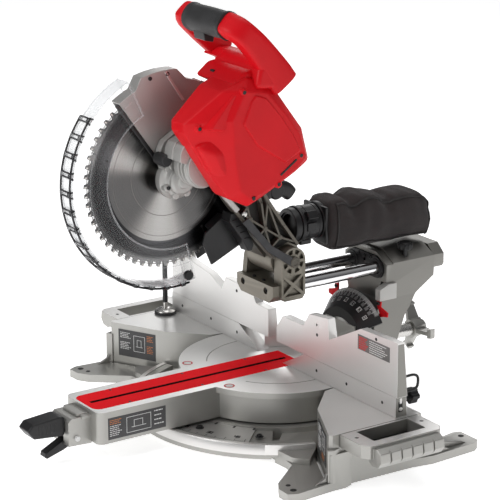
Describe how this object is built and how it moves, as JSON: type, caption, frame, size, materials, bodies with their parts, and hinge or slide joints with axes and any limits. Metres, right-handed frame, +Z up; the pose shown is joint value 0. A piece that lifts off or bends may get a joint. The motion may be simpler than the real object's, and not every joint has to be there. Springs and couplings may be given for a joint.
{
  "type": "sliding miter saw",
  "caption": "Sliding compound miter saw: turntable base with fences, bevel post, twin rails, hinged guarded blade head with red motor housing, and a cloth dust bag.",
  "frame": {"origin": "on the bench, under the centre of the turntable, on the axis it turns about", "axes": "+X along the fence to the operator's right, +Y from the operator to the rear, +Z up"},
  "size_m": [0.856, 0.807, 0.726],
  "materials": {
    "casting": "cast and painted silver grey",
    "machined": "machined aluminium",
    "olive": "dark olive-grey cast metal",
    "red_metal": "red painted plate",
    "red_plastic": "red moulded plastic",
    "black_plastic": "black moulded plastic",
    "rubber": "black rubber",
    "cloth": "woven charcoal cloth",
    "chrome": "hard chrome",
    "steel": "ground steel",
    "clear": "clear polycarbonate"
  },
  "bodies": {
    "base": {"base_casting": "casting", "miter_scale": "machined", "side_handle_right": "casting", "side_handle_left": "casting", "fixed_fence": "machined", "clamp_frame": "casting"},
    "fence_right": {"sliding_fence_right": "machined"},
    "fence_left": {"sliding_fence_left": "machined"},
    "knob_right": {"fence_knob_right": "black_plastic"},
    "knob_left": {"fence_knob_left": "black_plastic"},
    "clamp_rod": {"clamp_screw": "steel", "clamp_pad": "rubber"},
    "table": {"turntable": "casting", "kerf_plate": "red_metal", "bevel_scale": "black_plastic"},
    "miter_lock": {"miter_lock_handle": "black_plastic"},
    "detent": {"detent_lever": "black_plastic"},
    "post": {"bevel_post": "casting", "bearing_plate": "black_plastic", "bevel_stop_pad": "machined", "bevel_pointer_right": "red_plastic", "bevel_pointer_left": "red_plastic"},
    "bevel_lock": {"bevel_lock_handle": "black_plastic", "bevel_shaft": "steel"},
    "slide_lock": {"slide_lock_knob": "black_plastic"},
    "carriage": {"rail_right": "chrome", "rail_left": "chrome", "rail_end_cap": "casting", "pivot_bracket": "olive", "pivot_pin": "steel", "dust_tube": "black_plastic", "dust_adapter": "black_plastic", "dust_bag": "cloth"},
    "head": {"head_arm": "olive", "gear_case": "casting", "arm_bumper": "rubber", "upper_guard": "casting", "motor_housing": "red_plastic", "handle_frame": "red_plastic", "handle_grip": "rubber", "dust_chute": "black_plastic", "duct_elbow": "black_plastic"},
    "blade": {"saw_blade": "steel", "arbor": "steel", "blade_bolt": "steel"},
    "guard": {"lower_guard": "clear", "guard_roller": "black_plastic"},
    "link": {"guard_link": "steel"},
    "switch": {"trigger": "black_plastic"},
    "lock_off": {"lock_off_button": "black_plastic"}
  },
  "joints": [
    {"name": "fence_right_slide", "type": "slide", "parent": "base", "child": "fence_right", "axis": [1, 0, 0], "range_m": [0, 0.06]},
    {"name": "fence_left_slide", "type": "slide", "parent": "base", "child": "fence_left", "axis": [-1, 0, 0], "range_m": [0, 0.06]},
    {"name": "knob_right_turn", "type": "hinge", "parent": "base", "child": "knob_right", "pos_m": [0.32, 0.043, 0.116], "axis": [0, 1, 0], "range_deg": [0, 180]},
    {"name": "knob_left_turn", "type": "hinge", "parent": "base", "child": "knob_left", "pos_m": [-0.23, 0.043, 0.116], "axis": [0, 1, 0], "range_deg": [0, 180]},
    {"name": "clamp_lift", "type": "slide", "parent": "base", "child": "clamp_rod", "axis": [0, 0, 1], "range_m": [0, 0.09]},
    {"name": "miter", "type": "hinge", "parent": "base", "child": "table", "pos_m": [0, 0, 0.06], "axis": [0, 0, 1], "range_deg": [-50, 50]},
    {"name": "miter_lock_turn", "type": "hinge", "parent": "table", "child": "miter_lock", "pos_m": [0, -0.42, 0.066], "axis": [0, 1, 0], "range_deg": [0, 90]},
    {"name": "detent_squeeze", "type": "hinge", "parent": "table", "child": "detent", "pos_m": [0, -0.408, 0.038], "axis": [-1, 0, 0], "range_deg": [0, 12], "stiffness_Nm_per_rad": 0.6, "springref_deg": -11.46},
    {"name": "bevel", "type": "hinge", "parent": "table", "child": "post", "pos_m": [0, 0.18, 0.09], "axis": [0, -1, 0], "range_deg": [-15, 15]},
    {"name": "bevel_lock_turn", "type": "hinge", "parent": "post", "child": "bevel_lock", "pos_m": [0, 0.304, 0.09], "axis": [0, 1, 0], "range_deg": [0, 60]},
    {"name": "slide_lock_turn", "type": "hinge", "parent": "post", "child": "slide_lock", "pos_m": [0.048, 0.238, 0.264], "axis": [0, 0, 1], "range_deg": [0, 180]},
    {"name": "slide", "type": "slide", "parent": "post", "child": "carriage", "axis": [0, 1, 0], "range_m": [0, 0.165]},
    {"name": "chop", "type": "hinge", "parent": "carriage", "child": "head", "pos_m": [0, -0.005, 0.281], "axis": [1, 0, 0], "range_deg": [0, 50], "stiffness_Nm_per_rad": 15, "springref_deg": -137.51},
    {"name": "guard_link_swing", "type": "hinge", "parent": "carriage", "child": "link", "pos_m": [0, -0.005, 0.281], "axis": [1, 0, 0], "range_deg": [0, 50]},
    {"name": "guard_swing", "type": "hinge", "parent": "head", "child": "guard", "pos_m": [0, -0.213, 0.4475], "axis": [1, 0, 0], "range_deg": [-110, 0]},
    {"name": "blade_spin", "type": "hinge", "parent": "head", "child": "blade", "pos_m": [0, -0.213, 0.4475], "axis": [1, 0, 0], "continuous": true},
    {"name": "trigger_press", "type": "slide", "parent": "head", "child": "switch", "axis": [0, 0, 1], "range_m": [0, 0.004], "stiffness_N_per_m": 500, "springref_m": -0.004},
    {"name": "lock_off_press", "type": "slide", "parent": "head", "child": "lock_off", "axis": [1, 0, 0], "range_m": [0, 0.0025], "stiffness_N_per_m": 400, "springref_m": -0.004}
  ],
  "couplings": [
    {"joint": "guard_swing", "follows": "chop", "ratio": -2.2},
    {"joint": "guard_link_swing", "follows": "chop", "ratio": 1}
  ]
}
